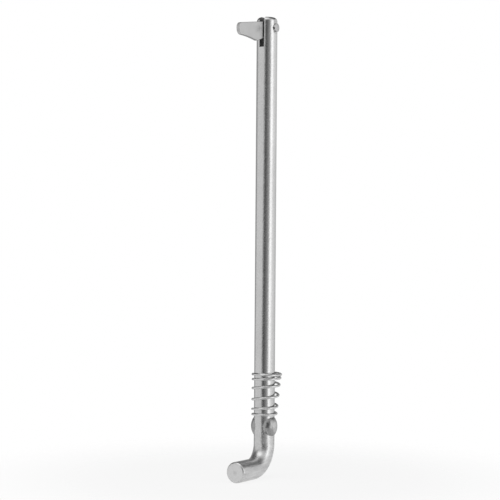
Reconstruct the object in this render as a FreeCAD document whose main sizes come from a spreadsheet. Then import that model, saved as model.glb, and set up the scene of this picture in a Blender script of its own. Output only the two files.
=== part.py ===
"""Spring-tensioned cane bolt: a bent bar with a drop-nose toggle, its rivet and a conical spring.

Frame: millimetres, +Z along the bar towards its tip, origin on the bar's axis level with the
free end of the spring. The handle and the toggle point to -Y, and the rivet lies along X.
"""

import FreeCAD, Part
import math
import os

import Sketcher
from FreeCAD import Placement, Rotation, Vector
from Sketcher import Constraint

DIMENSIONS = {
    # bar
    "bar_diameter": 12.7,
    "tip_height": 217.2,
    "tip_round": 2.6,
    # spring, along its own axis from the middle of the end that grips the bar
    "spring_wire": 1.45,
    "spring_grip_drop": 27.5,
    "spring_rise": 26.5,
    "spring_flare": 1.65,
    "spring_grip_clearance": 0.1,
    "spring_coils": 6.25,
    "spring_end_pitch": 1.31,
    "spring_pitch_skew": 0.84,
    "spring_start_angle": 72.7,
    "spring_lean_share": 0.84,
    "spring_lean_side": 32.0,
    # ears squeezed out of the bar below the spring's grip
    "ear_gap": 6.3,
    "ear_stand": 1.9,
    "ear_inset": 0.45,
    "ear_half_width": 4.65,
    "ear_half_height": 7.2,
    # bent handle below the ears
    "handle_gap": 25.0,
    "handle_reach": 33.1,
    "bend_radius": 14.4,
    "handle_end_round": 1.4,
    # slot in the tip, and the flats that the rivet's heads sit on, open at the tip
    "slot_width": 3.2,
    "slot_depth": 18.4,
    "pivot_drop": 6.6,
    "seat_diameter": 7.2,
    "seat_depth": 0.3,
    # rivet
    "rivet_diameter": 4.0,
    "rivet_hole_clearance": 0.05,
    "rivet_head_diameter": 5.2,
    "rivet_head_height": 1.55,
    "rivet_dome": 0.35,
    # toggle, along and across its own length from the pivot
    "toggle_thickness": 2.2,
    "toggle_hole_clearance": 0.1,
    "toggle_droop": 8.4,
    "toggle_reach": 33.6,
    "toggle_root_radius": 4.4,
    "toggle_nose_drop": 2.5,
    "toggle_nose_round": 3.3,
    "toggle_belly_radius": 110.0,
    "toggle_heel_reach": 13.8,
    "toggle_heel_drop": 7.1,
    "toggle_heel_round": 2.5,
    "toggle_edge_round": 0.3,
}

DERIVED = {
    "bar_radius": "bar_diameter / 2",
    "ear_drop": "spring_grip_drop + ear_gap",
    "ear_distance": "bar_radius + ear_stand - ear_half_width",
    "ear_half_depth": "bar_radius - ear_inset",
    "handle_drop": "ear_drop + handle_gap",
    "slot_floor": "tip_height - slot_depth",
    "pivot_height": "tip_height - pivot_drop",
    "seat_distance": "bar_radius - seat_depth",
    "rivet_top": "seat_distance + rivet_head_height",
    "spring_grip_radius": "bar_radius + spring_grip_clearance + spring_wire / 2",
    "spring_lean": "asin(spring_lean_share * spring_flare / spring_rise)",
}

SPRING_POINTS_PER_COIL = 16
NEAR = 0.01


def add_sheet(doc):
    """The driving dimensions and those worked out from them, one named cell each."""
    sheet = doc.addObject("Spreadsheet::Sheet", "Dimensions")
    formulas = {name: f"={formula}" for name, formula in DERIVED.items()}
    for row, (name, value) in enumerate({**DIMENSIONS, **formulas}.items(), start=1):
        sheet.set(f"A{row}", name)
        sheet.set(f"B{row}", str(value))
        sheet.setAlias(f"B{row}", name)
    doc.recompute()
    return sheet


def bind(target, path, formula):
    """Tie a property to the sheet: a word in braces is the name of a cell."""
    target.setExpression(path, formula.replace("{", "Dimensions.").replace("}", ""))


def add_body(doc, name, label):
    body = doc.addObject("PartDesign::Body", name)
    body.Label = label
    return body


def origin_plane(body, role):
    return next(item for item in body.Origin.OriginFeatures if item.Role == role)


def attach(feature, body, role):
    """Lay a sketch or a primitive on one of its own body's origin planes."""
    feature.AttachmentSupport = [(origin_plane(body, role), "")]
    feature.MapMode = "FlatFace"


def add_sketch(body, name, role):
    sketch = body.newObject("Sketcher::SketchObject", name)
    attach(sketch, body, role)
    return sketch


def dimension(sketch, name, formula, *constraint):
    """A named dimension of the sketch, tied to the sheet."""
    index = sketch.addConstraint(Constraint(*constraint))
    sketch.renameConstraint(index, name)
    bind(sketch, f"Constraints.{name}", formula)


def from_origin(sketch, name, line, point, left, up, left_formula, up_formula):
    """Place a line's end by its distances to the left of the sketch's origin and above or below it."""
    dimension(sketch, f"{name}_left", left_formula, "DistanceX", line, point, -1, 1, left)
    if up > 0:
        dimension(sketch, f"{name}_up", up_formula, "DistanceY", -1, 1, line, point, up)
    else:
        dimension(sketch, f"{name}_down", up_formula, "DistanceY", line, point, -1, 1, -up)


def add_line(sketch, start, end):
    return sketch.addGeometry(Part.LineSegment(Vector(*start, 0), Vector(*end, 0)), False)


def add_arc(sketch, centre, radius, start_angle, end_angle):
    circle = Part.Circle(Vector(*centre, 0), Vector(0, 0, 1), radius)
    arc = Part.ArcOfCircle(circle, math.radians(start_angle), math.radians(end_angle))
    return sketch.addGeometry(arc, False)


def add_arc_between(sketch, start, end, radius):
    """An arc of less than half a turn, anticlockwise from its start to its end."""
    start, end = Vector(*start, 0), Vector(*end, 0)
    half = (end - start) * 0.5
    inward = Vector(-half.y, half.x, 0).normalize()
    centre = start + half + inward * math.sqrt(radius**2 - half.Length**2)
    circle = Part.Circle(centre, Vector(0, 0, 1), radius)
    arc = Part.ArcOfCircle(circle, circle.parameter(start), circle.parameter(end))
    return sketch.addGeometry(arc, False)


def add_centred_circle(sketch, radius, formula):
    circle = Part.Circle(Vector(0, 0, 0), Vector(0, 0, 1), radius)
    index = sketch.addGeometry(circle, False)
    sketch.addConstraint(Constraint("Coincident", index, 3, -1, 1))
    dimension(sketch, "radius", formula, "Radius", index, radius)


def require_change(doc, feature):
    """A cut that points the wrong way removes nothing, so its volume is compared with its base's."""
    doc.recompute()
    change = abs(feature.Shape.Volume - feature.BaseFeature.Shape.Volume)
    if change < NEAR:
        raise ValueError(f"{feature.Label} changes nothing")


def edges_near(feature, places):
    """The names of the edges whose middle lies at one of the places."""
    names = []
    for index, edge in enumerate(feature.Shape.Edges, start=1):
        middle = edge.valueAt((edge.FirstParameter + edge.LastParameter) / 2)
        if any(middle.distanceToPoint(place) < NEAR for place in places):
            names.append(f"Edge{index}")
    if len(names) != len(places):
        raise ValueError(f"{feature.Label} has {len(names)} of {len(places)} edges")
    return names


def rim_names(feature, y):
    """The names of the edges that lie wholly in the plane at this Y."""
    edges = enumerate(feature.Shape.Edges, start=1)
    return [
        f"Edge{index}"
        for index, edge in edges
        if abs(edge.BoundBox.YMin - y) < NEAR and abs(edge.BoundBox.YMax - y) < NEAR
    ]


def add_fillet(doc, body, name, base, edges, formula):
    fillet = body.newObject("PartDesign::Fillet", name)
    fillet.Base = (base, edges)
    bind(fillet, "Radius", formula)
    require_change(doc, fillet)
    return fillet


def add_through_cut(doc, body, name, sketch):
    """Cut a sketch out of the whole body, both ways from the sketch's plane."""
    pocket = body.newObject("PartDesign::Pocket", name)
    pocket.Profile = sketch
    pocket.Type = "ThroughAll"
    pocket.SideType = "Symmetric"
    require_change(doc, pocket)
    return pocket


def add_mirrored(doc, body, name, feature, role):
    mirrored = body.newObject("PartDesign::Mirrored", name)
    mirrored.Originals = [feature]
    mirrored.MirrorPlane = (origin_plane(body, role), [""])
    body.Tip = mirrored
    require_change(doc, mirrored)
    return mirrored


def add_bar_spine(body, sheet):
    """The bar's centre line: down from the tip, round the bend and out along the handle."""
    tip, drop = sheet.tip_height, sheet.handle_drop
    reach, bend = sheet.handle_reach, sheet.bend_radius
    sketch = add_sketch(body, "BarSpine", "YZ_Plane")
    shank = add_line(sketch, (0, tip), (0, bend - drop))
    corner = add_arc(sketch, (-bend, bend - drop), bend, 270, 360)
    handle = add_line(sketch, (-bend, -drop), (-reach, -drop))
    sketch.addConstraint(Constraint("PointOnObject", shank, 1, -2))
    sketch.addConstraint(Constraint("Vertical", shank))
    sketch.addConstraint(Constraint("Tangent", shank, 2, corner, 2))
    sketch.addConstraint(Constraint("Tangent", corner, 1, handle, 1))
    dimension(sketch, "tip", "{tip_height}", "DistanceY", -1, 1, shank, 1, tip)
    dimension(sketch, "bend", "{bend_radius}", "Radius", corner, bend)
    from_origin(sketch, "handle", handle, 2, reach, -drop, "{handle_reach}", "{handle_drop}")
    return sketch


def add_ears(doc, body):
    """A flattened lobe standing out of each side of the bar."""
    ear = body.newObject("PartDesign::AdditiveEllipsoid", "Ear")
    attach(ear, body, "XY_Plane")
    bind(ear, "AttachmentOffset.Base.x", "{ear_distance}")
    bind(ear, "AttachmentOffset.Base.z", "-{ear_drop}")
    bind(ear, "Radius1", "{ear_half_height}")
    bind(ear, "Radius2", "{ear_half_width}")
    bind(ear, "Radius3", "{ear_half_depth}")
    require_change(doc, ear)
    add_mirrored(doc, body, "Ears", ear, "YZ_Plane")


def add_seat(doc, body, sheet):
    """The flat under one head of the rivet: round below the pivot and open at the tip."""
    radius = sheet.seat_diameter / 2
    pivot = sheet.pivot_height
    above = sheet.tip_height + radius
    sketch = add_sketch(body, "RivetSeatOutline", "YZ_Plane")
    bind(sketch, "AttachmentOffset.Base.z", "{seat_distance}")
    bottom = add_arc(sketch, (0, pivot), radius, 180, 360)
    corners = [(radius, pivot), (radius, above), (-radius, above), (-radius, pivot)]
    lines = [add_line(sketch, a, b) for a, b in zip(corners, corners[1:])]
    sketch.addConstraint(Constraint("PointOnObject", bottom, 3, -2))
    sketch.addConstraint(Constraint("Tangent", bottom, 2, lines[0], 1))
    sketch.addConstraint(Constraint("Coincident", lines[0], 2, lines[1], 1))
    sketch.addConstraint(Constraint("Coincident", lines[1], 2, lines[2], 1))
    sketch.addConstraint(Constraint("Tangent", lines[2], 2, bottom, 1))
    sketch.addConstraint(Constraint("Vertical", lines[0]))
    sketch.addConstraint(Constraint("Horizontal", lines[1]))
    dimension(sketch, "radius", "{seat_diameter} / 2", "Radius", bottom, radius)
    dimension(sketch, "pivot", "{pivot_height}", "DistanceY", -1, 1, bottom, 3, pivot)
    top_formula = "{tip_height} + {seat_diameter} / 2"
    dimension(sketch, "top", top_formula, "DistanceY", -1, 1, lines[0], 2, above)
    seat = body.newObject("PartDesign::Pocket", "RivetSeat")
    seat.Profile = sketch
    seat.Reversed = True
    bind(seat, "Length", "{bar_radius}")
    require_change(doc, seat)
    add_mirrored(doc, body, "RivetSeats", seat, "YZ_Plane")


def add_bar(doc, sheet):
    """The round bar: bent handle, pinched ears, and the slotted and cross-drilled tip."""
    body = add_body(doc, "Bar", "bar")
    radius = sheet.bar_radius
    section = add_sketch(body, "BarSection", "XY_Plane")
    bind(section, "AttachmentOffset.Base.z", "{tip_height}")
    add_centred_circle(section, radius, "{bar_radius}")
    pipe = body.newObject("PartDesign::AdditivePipe", "BarStock")
    pipe.Profile = section
    pipe.Spine = (add_bar_spine(body, sheet), ["Edge1", "Edge2", "Edge3"])
    doc.recompute()

    tip_rim = Vector(-radius, 0, sheet.tip_height)
    rounded = add_fillet(doc, body, "TipRound", pipe, edges_near(pipe, [tip_rim]), "{tip_round}")
    rims = rim_names(rounded, -sheet.handle_reach)
    add_fillet(doc, body, "HandleEndRound", rounded, rims, "{handle_end_round}")
    add_ears(doc, body)

    slot = add_sketch(body, "SlotOutline", "XZ_Plane")
    floor = sheet.slot_floor
    side = sheet.slot_width / 2
    above = sheet.tip_height + radius
    corners = [(-side, floor), (side, floor), (side, above), (-side, above)]
    lines = [add_line(slot, a, b) for a, b in zip(corners, corners[1:] + corners[:1])]
    for line, after in zip(lines, lines[1:] + lines[:1]):
        slot.addConstraint(Constraint("Coincident", line, 2, after, 1))
    for line, way in zip(lines[1:], ["Vertical", "Horizontal", "Vertical"]):
        slot.addConstraint(Constraint(way, line))
    slot.addConstraint(Constraint("Symmetric", lines[0], 1, lines[0], 2, -2))
    dimension(slot, "width", "{slot_width}", "DistanceX", lines[0], 1, lines[0], 2, 2 * side)
    dimension(slot, "floor", "{slot_floor}", "DistanceY", -1, 1, lines[0], 1, floor)
    dimension(slot, "top", "{tip_height} + {bar_radius}", "DistanceY", -1, 1, lines[2], 1, above)
    add_through_cut(doc, body, "Slot", slot)

    hole = add_sketch(body, "RivetHoleOutline", "YZ_Plane")
    bind(hole, "AttachmentOffset.Base.y", "{pivot_height}")
    hole_formula = "{rivet_diameter} / 2 + {rivet_hole_clearance}"
    add_centred_circle(hole, sheet.rivet_diameter / 2, hole_formula)
    add_through_cut(doc, body, "RivetHole", hole)

    add_seat(doc, body, sheet)
    return body


def add_rivet(doc, sheet):
    """A headed cross rivet through both prongs, turned about X and mirrored."""
    body = add_body(doc, "Rivet", "rivet")
    bind(body, "Placement.Base.z", "{pivot_height}")
    shank, head = sheet.rivet_diameter / 2, sheet.rivet_head_diameter / 2
    seat, top = sheet.seat_distance, sheet.rivet_top
    dome = sheet.rivet_dome
    dome_radius = (head**2 + dome**2) / (2 * dome)

    sketch = add_sketch(body, "RivetProfile", "XY_Plane")
    rim = (top - dome, head)
    corners = [(top, 0), (0, 0), (0, shank), (seat, shank), (seat, head), rim]
    lines = [add_line(sketch, a, b) for a, b in zip(corners, corners[1:])]
    dome_angle = math.degrees(math.asin(head / dome_radius))
    cap = add_arc(sketch, (top - dome_radius, 0), dome_radius, 0, dome_angle)
    for line, after in zip(lines, lines[1:]):
        sketch.addConstraint(Constraint("Coincident", line, 2, after, 1))
    for line, way in zip(lines, ["Horizontal", "Vertical", "Horizontal", "Vertical", "Horizontal"]):
        sketch.addConstraint(Constraint(way, line))
    sketch.addConstraint(Constraint("Coincident", lines[0], 2, -1, 1))
    sketch.addConstraint(Constraint("Coincident", cap, 1, lines[0], 1))
    sketch.addConstraint(Constraint("Coincident", cap, 2, lines[-1], 2))
    sketch.addConstraint(Constraint("PointOnObject", cap, 3, -1))
    shank_formula = "{rivet_diameter} / 2"
    head_formula = "{rivet_head_diameter} / 2"
    dimension(sketch, "shank", shank_formula, "DistanceY", -1, 1, lines[1], 2, shank)
    dimension(sketch, "head", head_formula, "DistanceY", -1, 1, lines[3], 2, head)
    dimension(sketch, "seat", "{seat_distance}", "DistanceX", -1, 1, lines[2], 2, seat)
    dimension(sketch, "top", "{rivet_top}", "DistanceX", -1, 1, lines[0], 1, top)
    rim_formula = "{rivet_top} - {rivet_dome}"
    dimension(sketch, "rim", rim_formula, "DistanceX", -1, 1, lines[-1], 2, top - dome)

    half = body.newObject("PartDesign::Revolution", "RivetHalf")
    half.Profile = sketch
    half.ReferenceAxis = (sketch, ["H_Axis"])
    half.Angle = 360
    doc.recompute()
    add_mirrored(doc, body, "RivetWhole", half, "YZ_Plane")
    return body


def add_toggle(doc, sheet):
    """The flat drop-nose toggle, drawn level and set down by its droop about the pivot."""
    body = add_body(doc, "Toggle", "toggle")
    body.Placement.Rotation = Rotation(Vector(1, 0, 0), sheet.toggle_droop)
    bind(body, "Placement.Rotation.Angle", "{toggle_droop}")
    bind(body, "Placement.Base.z", "{pivot_height}")

    root = sheet.toggle_root_radius
    half_thickness = sheet.toggle_thickness / 2
    reach = sheet.toggle_reach
    nose, chin = (-reach, root), (-reach, -sheet.toggle_nose_drop)
    heel = (-sheet.toggle_heel_reach, -sheet.toggle_heel_drop)

    sketch = add_sketch(body, "ToggleOutline", "YZ_Plane")
    top = add_line(sketch, (0, root), nose)
    front = add_line(sketch, nose, chin)
    belly = add_arc_between(sketch, heel, chin, sheet.toggle_belly_radius)
    underside = add_line(sketch, heel, (0, -root))
    back = add_arc(sketch, (0, 0), root, -90, 90)
    joins = [
        (top, 2, front, 1),
        (front, 2, belly, 2),
        (belly, 1, underside, 1),
        (underside, 2, back, 1),
        (back, 2, top, 1),
        (back, 3, -1, 1),
    ]
    for join in joins:
        sketch.addConstraint(Constraint("Coincident", *join))
    for end in (1, 2):
        sketch.addConstraint(Constraint("PointOnObject", back, end, -2))
    sketch.addConstraint(Constraint("Horizontal", top))
    sketch.addConstraint(Constraint("Vertical", front))
    dimension(sketch, "root", "{toggle_root_radius}", "Radius", back, root)
    dimension(sketch, "belly", "{toggle_belly_radius}", "Radius", belly, sheet.toggle_belly_radius)
    chin_formulas = "{toggle_reach}", "{toggle_nose_drop}"
    heel_formulas = "{toggle_heel_reach}", "{toggle_heel_drop}"
    from_origin(sketch, "chin", front, 2, -chin[0], chin[1], *chin_formulas)
    from_origin(sketch, "heel", underside, 1, -heel[0], heel[1], *heel_formulas)

    plate = body.newObject("PartDesign::Pad", "TogglePlate")
    plate.Profile = sketch
    plate.SideType = "Symmetric"
    bind(plate, "Length", "{toggle_thickness}")
    doc.recompute()

    shape = plate
    for name, points in (("Nose", [nose, chin]), ("Heel", [heel])):
        edges = edges_near(shape, [Vector(0, *point) for point in points])
        formula = "{toggle_" + name.lower() + "_round}"
        shape = add_fillet(doc, body, f"{name}Round", shape, edges, formula)

    faces = [
        f"Face{index}"
        for index, face in enumerate(shape.Shape.Faces, start=1)
        if abs(abs(face.CenterOfMass.x) - half_thickness) < NEAR
    ]
    add_fillet(doc, body, "RimRound", shape, faces, "{toggle_edge_round}")

    hole = add_sketch(body, "ToggleHoleOutline", "YZ_Plane")
    hole_formula = "{rivet_diameter} / 2 + {toggle_hole_clearance}"
    add_centred_circle(hole, sheet.rivet_diameter / 2, hole_formula)
    add_through_cut(doc, body, "ToggleHole", hole)
    return body


def spring_points(sheet):
    """The wire's centre line: an upright cone whose pitch opens between its two closed ends."""
    count = round(sheet.spring_coils * SPRING_POINTS_PER_COIL)
    opening = [
        math.sin(math.pi * ((step + 0.5) / count) ** sheet.spring_pitch_skew) ** 2
        for step in range(count)
    ]
    closed_rise = sheet.spring_end_pitch * sheet.spring_coils
    open_rise = sheet.spring_rise - closed_rise
    start = math.radians(sheet.spring_start_angle)

    points = []
    height = 0
    for step in range(count + 1):
        share = step / count
        radius = sheet.spring_grip_radius + sheet.spring_flare * share
        angle = start + 2 * math.pi * sheet.spring_coils * share
        points.append(Vector(radius * math.cos(angle), radius * math.sin(angle), height))
        if step < count:
            height += closed_rise / count + open_rise * opening[step] / sum(opening)
    return points


def add_spring(doc, sheet):
    """The round wire swept along the cone, which then leans over about its narrow end."""
    curve = Part.BSplineCurve()
    curve.interpolate(spring_points(sheet))
    start = curve.value(curve.FirstParameter)
    along = curve.tangent(curve.FirstParameter)[0]
    section = Part.Wire([Part.Circle(start, along, sheet.spring_wire / 2).toShape()])
    spring = doc.addObject("Part::Feature", "Spring")
    spring.Label = "spring"
    spring.Shape = Part.Wire([curve.toShape()]).makePipeShell([section], True, True)
    side = math.radians(sheet.spring_lean_side)
    lean = Rotation(Vector(-math.sin(side), math.cos(side), 0), sheet.spring_lean)
    spring.Placement = Placement(Vector(0, 0, -sheet.spring_grip_drop), lean)
    return spring


def check(doc, parts):
    """Stop at the first object that failed, or whose shape is not one sound solid."""
    doc.recompute()
    for item in doc.Objects:
        if "Invalid" in item.State or "Error" in item.State:
            raise ValueError(f"{item.Label} failed: {item.State}")
    for part in parts:
        if part.Shape.isNull() or not part.Shape.isValid() or len(part.Shape.Solids) != 1:
            raise ValueError(f"{part.Label} is not one valid solid")


def main():
    doc = FreeCAD.newDocument("CaneBolt")
    sheet = add_sheet(doc)
    parts = [make(doc, sheet) for make in (add_bar, add_rivet, add_toggle, add_spring)]
    check(doc, parts)
    os.makedirs("parts", exist_ok=True)
    for part in parts:
        part.Shape.exportStep(f"parts/{part.Label}.step")
        box = part.Shape.BoundBox
        print(part.Label, round(part.Shape.Volume, 1), box)


main()
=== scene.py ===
import math
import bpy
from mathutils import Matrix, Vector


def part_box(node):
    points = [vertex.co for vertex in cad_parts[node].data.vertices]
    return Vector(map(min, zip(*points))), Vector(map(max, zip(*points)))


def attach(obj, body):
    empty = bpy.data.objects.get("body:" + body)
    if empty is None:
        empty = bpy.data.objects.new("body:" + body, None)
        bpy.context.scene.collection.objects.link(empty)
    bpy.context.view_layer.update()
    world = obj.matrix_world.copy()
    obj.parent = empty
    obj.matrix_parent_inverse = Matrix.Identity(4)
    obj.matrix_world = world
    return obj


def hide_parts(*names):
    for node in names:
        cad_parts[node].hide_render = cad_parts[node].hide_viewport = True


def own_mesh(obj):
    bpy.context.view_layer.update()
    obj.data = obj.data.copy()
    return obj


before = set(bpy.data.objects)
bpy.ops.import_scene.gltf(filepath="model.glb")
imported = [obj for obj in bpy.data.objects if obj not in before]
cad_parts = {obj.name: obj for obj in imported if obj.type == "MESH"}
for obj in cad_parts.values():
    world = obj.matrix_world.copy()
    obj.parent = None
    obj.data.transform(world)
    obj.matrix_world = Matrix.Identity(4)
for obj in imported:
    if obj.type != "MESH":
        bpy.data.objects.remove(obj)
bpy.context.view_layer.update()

from types import SimpleNamespace

import bmesh
import bpy
from mathutils import Quaternion, Vector

MM = 0.001

# ---------------------------------------------------------------- places on the object
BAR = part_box("bar")
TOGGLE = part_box("toggle")
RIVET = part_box("rivet")

BAR_RADIUS = 6.35 * MM
TIP_Z = BAR[1].z
HANDLE_END_Y = BAR[0].y
HANDLE_AXIS_Z = BAR[0].z + BAR_RADIUS
HANDLE_FINISH_TOP = HANDLE_AXIS_Z + 8 * MM
BAR_FINISH_BOTTOM = HANDLE_AXIS_Z + 20 * MM
SLOT_SIDE = 1.66 * MM
SLOT_FLOOR_Z = TIP_Z - 18.6 * MM
PIVOT_Z = (RIVET[0].z + RIVET[1].z) / 2
SEAT_X = 6.05 * MM
SEAT_BOTTOM_Z = PIVOT_Z - 3.6 * MM
EAR_Z = -33.8 * MM
EAR_REACH = 8 * MM
EAR_FOOT_X = 6.3 * MM
# the ears' painted highlight rises between these distances from the bar's middle
EAR_HIGHLIGHT_START = 7.5 * MM
EAR_HIGHLIGHT_FULL = 8.1 * MM
RIVET_TOP = RIVET[1].x
PLATE_EDGE = TOGGLE[1].x - 0.2 * MM

# ---------------------------------------------------------------- spring
# its centre line starts round the bar, just above the ears, and widens as it climbs to the mouth
WIRE_RADIUS = 0.724 * MM
SPRING_DROP = 27.5 * MM
SPRING_RISE = 26.5 * MM
GRIP_RADIUS = BAR_RADIUS + 0.825 * MM
MOUTH_RADIUS = 8.825 * MM
COILS = 6.25
END_PITCH = 1.31 * MM
PITCH_SKEW = 0.84
START_ANGLE = math.radians(72.7)
LEAN = math.radians(3.0)
LEAN_SIDE = math.radians(32.0)
STEPS_PER_COIL = 96
WIRE_SIDES = 20

# ---------------------------------------------------------------- camera
# level, a little to the object's right, with a long lens
VIEW_AZIMUTH = math.radians(32.0)
VIEW_DISTANCE = 0.959
VIEW_HEIGHT = TIP_Z - 142.9 * MM
VIEW_ASIDE = -9.5 * MM
VIEW_ROLL = math.radians(0.42)
LENS = 112.3

# ---------------------------------------------------------------- floor
FLOOR_HALF_SIDE = 6.0
FLOOR_Z = BAR[0].z - 0.05 * MM
FLOOR_GREY = (0.85, 0.85, 0.85, 1)
FLOOR_WHITE_TO_CAMERA = 0.85
FLOOR_WHITE_TO_METAL = 0.7
FLOOR_FADE_START = 0.07
FLOOR_FADE_END = 0.22

# ---------------------------------------------------------------- studio
# directions are unit vectors: +x is the side that the camera stands on, +y is to its right, +z is up
WHITE = (1, 1, 1, 1)
LAMP_DIRECTION = (0.14, -0.20, 0.97)
LAMP_LEVEL = 1.5
LAMP_FULL = math.radians(20)
LAMP_EDGE = math.radians(27)
# the open sky's level, behind the object and in front of it, and the x where each is reached
SKY_LEVELS = (0.12, 0.75)
SKY_X = (-0.35, 0.45)
# heights in degrees between which the sky takes over from the sides, behind and in front, with their x
SKY_EDGE_BEHIND = (13, 30)
SKY_EDGE_IN_FRONT = (24, 44)
SKY_EDGE_X = (-0.6, 0.2)
UNDERSIDE_LEVEL = 0.85
UNDERSIDE_EDGE = (-28, -46)
# the sides turn by this angle, in radians, between this z above the horizon and as much below it
SIDE_LEAN = 0.24
SIDE_LEAN_Z = 0.12
# the light from the sides: degrees from +x towards +y, and the level there
SIDE_LEVELS = [(-180, 0.36), (-124, 0.38), (-108, 0.86), (-26, 0.84), (-19, 0.36), (-12, 0.08), (-1, 0.12),
               (15, 0.24), (27, 0.36), (40, 0.50), (47, 0.95), (54, 1.7), (69, 1.6), (80, 1.12), (95, 1.0),
               (130, 0.82), (180, 0.4)]
# a colour ramp holds the levels as shares of the first scale, and the second one dims them low down
SIDE_SCALES = (3.0, 2.2)
SIDE_SCALES_Z = (-0.14, -0.24)


# ---------------------------------------------------------------- node helpers
class Nodes:
    """Short calls for building a node tree."""

    def __init__(self, tree):
        self.tree = tree
        tree.nodes.clear()

    def add(self, kind, inputs=(), **settings):
        node = self.tree.nodes.new(kind)
        for name, value in settings.items():
            setattr(node, name, value)
        for key, value in dict(inputs).items():
            self.put(node.inputs[key], value)
        return node

    def put(self, socket, value):
        if isinstance(value, bpy.types.NodeSocket):
            self.tree.links.new(value, socket)
        else:
            socket.default_value = value

    def place(self):
        """The point on the object, in metres, and its x, y and z."""
        place = self.add("ShaderNodeTexCoord").outputs["Object"]
        return place, *self.split(place)

    def split(self, vector):
        return tuple(self.add("ShaderNodeSeparateXYZ", {0: vector}).outputs)

    def math(self, operation, *values):
        node = self.add("ShaderNodeMath", operation=operation)
        for index, value in enumerate(values):
            self.put(node.inputs[index], value)
        return node.outputs[0]

    def times(self, first, second):
        return self.math("MULTIPLY", first, second)

    def below(self, value, limit):
        return self.math("LESS_THAN", value, limit)

    def above(self, value, limit):
        return self.math("GREATER_THAN", value, limit)

    def absolute(self, value):
        return self.math("ABSOLUTE", value)

    def length(self, first, second):
        return self.math("SQRT", self.math("ADD", self.times(first, first), self.times(second, second)))

    def weighted(self, base, *pairs):
        """base plus the first of each pair times the second."""
        result = base
        for value, weight in pairs:
            result = self.math("ADD", result, self.times(value, weight))
        return result

    def scaled_on(self, mask, value, factor):
        """The value, times the factor where the mask is 1."""
        return self.times(value, self.remap(mask, 0.0, 1.0, 1.0, factor))

    def remap(self, value, low, high, to_low=0.0, to_high=1.0, smooth=False):
        kind = "SMOOTHSTEP" if smooth else "LINEAR"
        node = self.add("ShaderNodeMapRange", interpolation_type=kind)
        for name, put in (("Value", value), ("From Min", low), ("From Max", high),
                          ("To Min", to_low), ("To Max", to_high)):
            self.put(node.inputs[name], put)
        return node.outputs[0]

    def mix(self, share, first, second):
        return self.add("ShaderNodeMix", {0: share, 2: first, 3: second}).outputs[0]

    def mix_shaders(self, share, first, second):
        return self.add("ShaderNodeMixShader", {0: share, 1: first.outputs[0], 2: second.outputs[0]})

    def stretched(self, vector, scale):
        node = self.add("ShaderNodeVectorMath", operation="MULTIPLY")
        self.put(node.inputs[0], vector)
        node.inputs[1].default_value = scale
        return node.outputs[0]

    def noise(self, vector, scale, detail=2.0, roughness=0.5):
        """Noise from 0 to 1; the scale is the number of its grains in a metre."""
        inputs = {"Vector": vector, "Scale": scale, "Detail": detail, "Roughness": roughness}
        return self.add("ShaderNodeTexNoise", inputs).outputs["Fac"]

    def grey(self, value):
        return self.add("ShaderNodeCombineColor", {0: value, 1: value, 2: value}).outputs[0]

    def output(self, kind, shader):
        self.put(self.add(kind).inputs["Surface"], shader.outputs[0])


def new_material(name):
    material = bpy.data.materials.new(name)
    material.use_nodes = True
    return material, Nodes(material.node_tree)


def finish_metal(nodes, value, roughness, height):
    """Bare steel from its grey, its roughness and the height of its surface in millimetres."""
    bump = nodes.add("ShaderNodeBump", {"Height": height, "Strength": 1.0, "Distance": MM})
    shader = nodes.add("ShaderNodeBsdfPrincipled", {
        "Base Color": nodes.grey(value),
        "Metallic": 1.0,
        "Roughness": roughness,
        "Normal": bump.outputs[0],
    })
    nodes.output("ShaderNodeOutputMaterial", shader)


# ---------------------------------------------------------------- materials
def bar_regions(nodes, x, y, z):
    """Masks that are 1 on one region of the bar and 0 elsewhere, with small allowances to catch it whole."""
    aside = nodes.absolute(x)
    past_surface = nodes.above(nodes.length(x, y), BAR_RADIUS + 0.06 * MM)
    near_ears = nodes.below(nodes.absolute(nodes.math("SUBTRACT", z, EAR_Z)), EAR_REACH)
    handle = nodes.remap(z, HANDLE_FINISH_TOP, BAR_FINISH_BOTTOM, 1.0, 0.0, smooth=True)
    end_face = nodes.below(y, HANDLE_END_Y + 0.12 * MM)
    return SimpleNamespace(
        # the inside of the slot, where the grey is darkened as painted shade
        slot=nodes.times(nodes.below(aside, SLOT_SIDE), nodes.above(z, SLOT_FLOOR_Z)),
        # the flat seat round the rivet, where the grey is darkened as painted shade
        seat=nodes.times(nodes.math("COMPARE", aside, SEAT_X, 0.05 * MM), nodes.above(z, SEAT_BOTTOM_Z)),
        ear=nodes.times(past_surface, near_ears),
        handle=handle,
        handle_side=nodes.times(handle, nodes.math("SUBTRACT", 1.0, end_face)),
        end_face=end_face)


def ear_painted_shade_and_highlight(nodes, x):
    """The ears' grey against the bar's, as painted shade and highlight: darker, darker still in the crease at
    the foot, and a painted highlight at the rim.
    """
    aside = nodes.absolute(x)
    from_foot = nodes.absolute(nodes.math("SUBTRACT", aside, EAR_FOOT_X))
    # painted shade in the crease at the ear's foot, and a painted highlight towards its rim
    painted_crease_shade = nodes.remap(from_foot, 0.1 * MM, 1.2 * MM, 0.84, 1.0, smooth=True)
    painted_rim_highlight = nodes.remap(aside, EAR_HIGHLIGHT_START, EAR_HIGHLIGHT_FULL, 1.0, 1.6, smooth=True)
    return nodes.times(0.60, nodes.times(painted_crease_shade, painted_rim_highlight))


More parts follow.
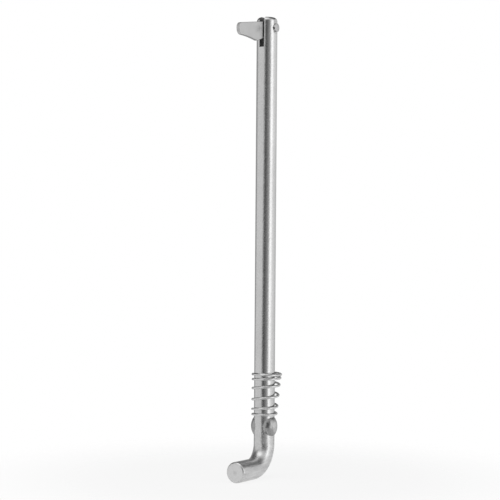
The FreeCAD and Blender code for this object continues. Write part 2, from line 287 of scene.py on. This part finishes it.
def bar_steel():
    material, nodes = new_material("bar_steel")
    place, x, y, z = nodes.place()
    on = bar_regions(nodes, x, y, z)

    speckle = nodes.noise(place, 1100, detail=3.0, roughness=0.65)
    grain = nodes.noise(nodes.stretched(place, (1, 1, 0.35)), 520, detail=2.0)
    ripple = nodes.noise(nodes.stretched(place, (0.3, 0.3, 1)), 420, detail=2.0)
    drawn = nodes.noise(nodes.stretched(place, (1, 1, 0.02)), 2600, detail=3.0, roughness=0.7)
    cloud = nodes.noise(place, 60, detail=3.0)
    pits = nodes.remap(nodes.noise(place, 1900, detail=1.0), 0.64, 0.72)
    ground = nodes.noise(nodes.stretched(place, (1, 0.18, 1)), 420, detail=3.0, roughness=0.6)
    pressed = nodes.noise(nodes.stretched(place, (1, 1, 0.2)), 900, detail=3.0, roughness=0.6)

    # the handle's end face, with its rings and the smudged mark at its centre
    from_axis = nodes.length(x, nodes.math("SUBTRACT", z, HANDLE_AXIS_Z))
    rings = nodes.math("SINE", nodes.times(from_axis, 2 * math.pi / (0.45 * MM)))
    smudged = nodes.math("ADD", from_axis, nodes.times(nodes.noise(place, 320, detail=2.0), 1.6 * MM))
    centre_mark = nodes.times(on.end_face, nodes.remap(smudged, 0.9 * MM, 2.9 * MM, 1.0, 0.0, smooth=True))

    grains = nodes.remap(speckle, 0.35, 0.65)
    grain_share = nodes.remap(on.end_face, 0.0, 1.0, 0.09, 0.04)
    streaks = nodes.times(nodes.remap(ground, 0.35, 0.65, -0.08, 0.08), on.handle_side)
    value = nodes.weighted(0.51, (cloud, 0.12), (grains, grain_share), (pits, -0.10), (streaks, 1.0))
    # painted shade darkens the inside of the slot and the seat round the rivet; the ears get painted shade
    # and a painted highlight
    for mask, factor in ((on.slot, 0.35), (on.end_face, 1.17), (on.ear, ear_painted_shade_and_highlight(nodes, x)),
                         (on.seat, 0.85), (centre_mark, 0.85)):
        value = nodes.scaled_on(mask, value, factor)
    roughness = nodes.weighted(0.10, (speckle, 0.12), (drawn, 0.06), (pits, 0.15), (on.slot, 0.3),
                               (on.end_face, 0.12), (on.ear, 0.04), (on.handle, 0.12))
    height = nodes.weighted(0.0, (speckle, 0.044), (grain, 0.030), (ripple, 0.016), (drawn, 0.004),
                            (pits, -0.008), (nodes.times(rings, on.end_face), 0.0012),
                            (nodes.times(pressed, on.ear), 0.09), (nodes.times(ground, on.handle), 0.16))
    finish_metal(nodes, value, roughness, height)
    return material


def plate_steel():
    material, nodes = new_material("toggle_steel")
    place, x, _, _ = nodes.place()
    tumble = nodes.noise(place, 1100, detail=3.0, roughness=0.6)
    cloud = nodes.noise(place, 160, detail=2.0)
    shear = nodes.noise(nodes.stretched(place, (0.06, 1, 1)), 2400, detail=2.0)
    on_edge = nodes.below(nodes.absolute(x), PLATE_EDGE)
    value = nodes.scaled_on(on_edge, nodes.weighted(0.50, (tumble, 0.06), (cloud, 0.08)), 0.96)
    roughness = nodes.weighted(0.26, (tumble, 0.10), (on_edge, 0.08))
    height = nodes.weighted(0.0, (tumble, 0.012), (nodes.times(shear, on_edge), 0.03))
    finish_metal(nodes, value, roughness, height)
    return material


def rivet_steel():
    material, nodes = new_material("rivet_steel")
    place, x, _, _ = nodes.place()
    dent = nodes.noise(place, 700, detail=2.0)
    speckle = nodes.noise(place, 2000, detail=2.0)
    # the head's outer face: peened and rougher, and darkened with painted shade
    peened_and_painted_shade = nodes.remap(nodes.absolute(x), RIVET_TOP - 0.45 * MM, RIVET_TOP - 0.3 * MM)
    value = nodes.scaled_on(peened_and_painted_shade, nodes.weighted(0.50, (speckle, 0.10), (dent, 0.06)), 0.92)
    roughness = nodes.weighted(0.16, (speckle, 0.12), (peened_and_painted_shade, 0.10))
    height = nodes.weighted(0.0, (dent, 0.06), (speckle, 0.01))
    finish_metal(nodes, value, roughness, height)
    return material


def wire_steel():
    material, nodes = new_material("spring_steel")
    place = nodes.place()[0]
    speckle = nodes.noise(place, 2200, detail=2.0)
    cloud = nodes.noise(place, 200, detail=2.0)
    value = nodes.weighted(0.58, (speckle, 0.08), (cloud, 0.08))
    roughness = nodes.weighted(0.14, (speckle, 0.10))
    height = nodes.times(speckle, 0.010)
    finish_metal(nodes, value, roughness, height)
    return material


def dress(obj, material):
    obj.data.materials.clear()
    obj.data.materials.append(material)


def new_object(name, data):
    obj = bpy.data.objects.new(name, data)
    bpy.context.scene.collection.objects.link(obj)
    return obj


# ---------------------------------------------------------------- spring
def spring_centres():
    """Points along the wire's centre line: its coils are closed at both ends and open between them."""
    count = round(COILS * STEPS_PER_COIL)
    opening = [math.sin(math.pi * ((step + 0.5) / count) ** PITCH_SKEW) ** 2 for step in range(count)]
    closed_rise = END_PITCH * COILS
    open_rise = SPRING_RISE - closed_rise
    lean = Quaternion((-math.sin(LEAN_SIDE), math.cos(LEAN_SIDE), 0), LEAN)
    height = 0.0
    points = []
    for step in range(count + 1):
        share = step / count
        radius = GRIP_RADIUS + (MOUTH_RADIUS - GRIP_RADIUS) * share
        angle = START_ANGLE + 2 * math.pi * COILS * share
        point = Vector((radius * math.cos(angle), radius * math.sin(angle), height))
        points.append(lean @ point + Vector((0, 0, -SPRING_DROP)))
        if step < count:
            height += closed_rise / count + open_rise * opening[step] / sum(opening)
    return points


def wire_rings(mesh, points):
    """A round ring of vertices square to the line at each of its points."""
    rings = []
    for index, point in enumerate(points):
        along = (points[min(index + 1, len(points) - 1)] - points[max(index - 1, 0)]).normalized()
        outward = Vector((point.x, point.y, 0)).normalized()
        side = (outward - along * outward.dot(along)).normalized()
        up = along.cross(side)
        ring = []
        for turn in range(WIRE_SIDES):
            angle = 2 * math.pi * turn / WIRE_SIDES
            ring.append(mesh.verts.new(point + WIRE_RADIUS * (side * math.cos(angle) + up * math.sin(angle))))
        rings.append(ring)
    return rings


def make_spring():
    mesh = bmesh.new()
    rings = wire_rings(mesh, spring_centres())
    for a, b in zip(rings, rings[1:]):
        for turn in range(WIRE_SIDES):
            after = (turn + 1) % WIRE_SIDES
            mesh.faces.new((a[turn], a[after], b[after], b[turn]))
    for ring in (rings[0], rings[-1]):
        mesh.faces.new(ring)
    bmesh.ops.recalc_face_normals(mesh, faces=mesh.faces)
    data = bpy.data.meshes.new("spring_wire")
    mesh.to_mesh(data)
    mesh.free()
    for polygon in data.polygons:
        polygon.use_smooth = len(polygon.vertices) == 4
    return new_object("spring_wire", data)


# ---------------------------------------------------------------- studio
def make_floor():
    """A pale floor, mostly white to the camera and to the metal, that fades out round the object."""
    data = bpy.data.meshes.new("floor")
    signs = ((-1, -1), (1, -1), (1, 1), (-1, 1))
    corners = [(a * FLOOR_HALF_SIDE, b * FLOOR_HALF_SIDE, FLOOR_Z) for a, b in signs]
    data.from_pydata(corners, [], [(0, 1, 2, 3)])
    floor = new_object("floor", data)
    material, nodes = new_material("floor_white")
    ray = nodes.add("ShaderNodeLightPath").outputs
    share = nodes.math("MAXIMUM", nodes.times(ray["Is Camera Ray"], FLOOR_WHITE_TO_CAMERA),
                       nodes.times(ray["Is Glossy Ray"], FLOOR_WHITE_TO_METAL))
    plain = nodes.add("ShaderNodeBsdfDiffuse", {"Color": FLOOR_GREY})
    white = nodes.add("ShaderNodeEmission", {"Color": WHITE, "Strength": 1.0})
    _, x, y, _ = nodes.place()
    fade = nodes.remap(nodes.length(x, y), FLOOR_FADE_START, FLOOR_FADE_END, smooth=True)
    nothing = nodes.add("ShaderNodeBsdfTransparent")
    faded = nodes.mix_shaders(fade, nodes.mix_shaders(share, plain, white), nothing)
    nodes.output("ShaderNodeOutputMaterial", faded)
    data.materials.append(material)


def height_at(degrees):
    """The z of a unit direction this far above the horizon."""
    return math.sin(math.radians(degrees))


def side_level(nodes, x, y, z):
    """Light from round the object: one dark band and one bright strip, turned a little as it goes down."""
    lean = nodes.remap(z, SIDE_LEAN_Z, -SIDE_LEAN_Z, 0.0, SIDE_LEAN)
    azimuth = nodes.math("ADD", nodes.math("ARCTAN2", y, x), lean)
    ramp = nodes.add("ShaderNodeValToRGB", {"Fac": nodes.remap(azimuth, -math.pi, math.pi)})
    elements = ramp.color_ramp.elements
    while len(elements) > 1:
        elements.remove(elements[-1])
    for index, (angle, level) in enumerate(SIDE_LEVELS):
        element = elements.new((angle + 180) / 360) if index else elements[0]
        element.position = (angle + 180) / 360
        element.color = (level / SIDE_SCALES[0],) * 3 + (1,)
    scale = nodes.remap(z, *SIDE_SCALES_Z, *SIDE_SCALES, smooth=True)
    return nodes.times(ramp.outputs[0], scale)


def sky_level(nodes, direction, x):
    """Light from above: a sky that is dim behind the object, and a soft round lamp in it."""
    toward_lamp = nodes.add("ShaderNodeVectorMath", {0: direction, 1: LAMP_DIRECTION},
                            operation="DOT_PRODUCT").outputs["Value"]
    lamp = nodes.remap(toward_lamp, math.cos(LAMP_EDGE), math.cos(LAMP_FULL), smooth=True)
    open_sky = nodes.remap(x, *SKY_X, *SKY_LEVELS, smooth=True)
    return nodes.mix(lamp, open_sky, LAMP_LEVEL)


def make_world():
    """White to the camera; to everything else a studio with a dark camera side and a bright strip."""
    world = bpy.data.worlds.new("studio")
    bpy.context.scene.world = world
    world.use_nodes = True
    nodes = Nodes(world.node_tree)
    direction = nodes.add("ShaderNodeVectorRotate", {
        "Vector": nodes.add("ShaderNodeTexCoord").outputs["Generated"],
        "Axis": (0, 0, 1),
        "Angle": math.pi / 2 - VIEW_AZIMUTH,
    }, rotation_type="AXIS_ANGLE").outputs[0]
    x, y, z = nodes.split(direction)
    sky_start, sky_full = [nodes.remap(x, *SKY_EDGE_X, height_at(behind), height_at(in_front))
                           for behind, in_front in zip(SKY_EDGE_BEHIND, SKY_EDGE_IN_FRONT)]
    up = nodes.remap(z, sky_start, sky_full, smooth=True)
    down = nodes.remap(z, *map(height_at, UNDERSIDE_EDGE), smooth=True)
    level = nodes.mix(up, side_level(nodes, x, y, z), sky_level(nodes, direction, x))
    level = nodes.mix(down, level, UNDERSIDE_LEVEL)
    camera = nodes.add("ShaderNodeLightPath").outputs["Is Camera Ray"]
    strength = nodes.math("MAXIMUM", camera, nodes.times(level, nodes.math("SUBTRACT", 1.0, camera)))
    background = nodes.add("ShaderNodeBackground", {"Color": WHITE, "Strength": strength})
    nodes.output("ShaderNodeOutputWorld", background)


def make_camera():
    data = bpy.data.cameras.new("camera")
    data.lens = LENS
    data.clip_start = 0.05
    data.clip_end = 20
    camera = new_object("camera", data)
    back = Vector((math.sin(VIEW_AZIMUTH), -math.cos(VIEW_AZIMUTH), 0))
    right = Vector((math.cos(VIEW_AZIMUTH), math.sin(VIEW_AZIMUTH), 0))
    camera.location = right * VIEW_ASIDE + back * VIEW_DISTANCE + Vector((0, 0, VIEW_HEIGHT))
    look = back.to_track_quat("Z", "Y")
    camera.rotation_mode = "QUATERNION"
    camera.rotation_quaternion = look @ Quaternion((0, 0, 1), VIEW_ROLL)
    bpy.context.scene.camera = camera


make_camera()
make_floor()
make_world()
dress(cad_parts["bar"], bar_steel())
dress(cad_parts["rivet"], rivet_steel())
dress(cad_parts["toggle"], plate_steel())
spring = make_spring()
dress(spring, wire_steel())
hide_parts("spring")
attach(spring, "bar")
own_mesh(spring)

bpy.context.scene.view_settings.view_transform = "Standard"
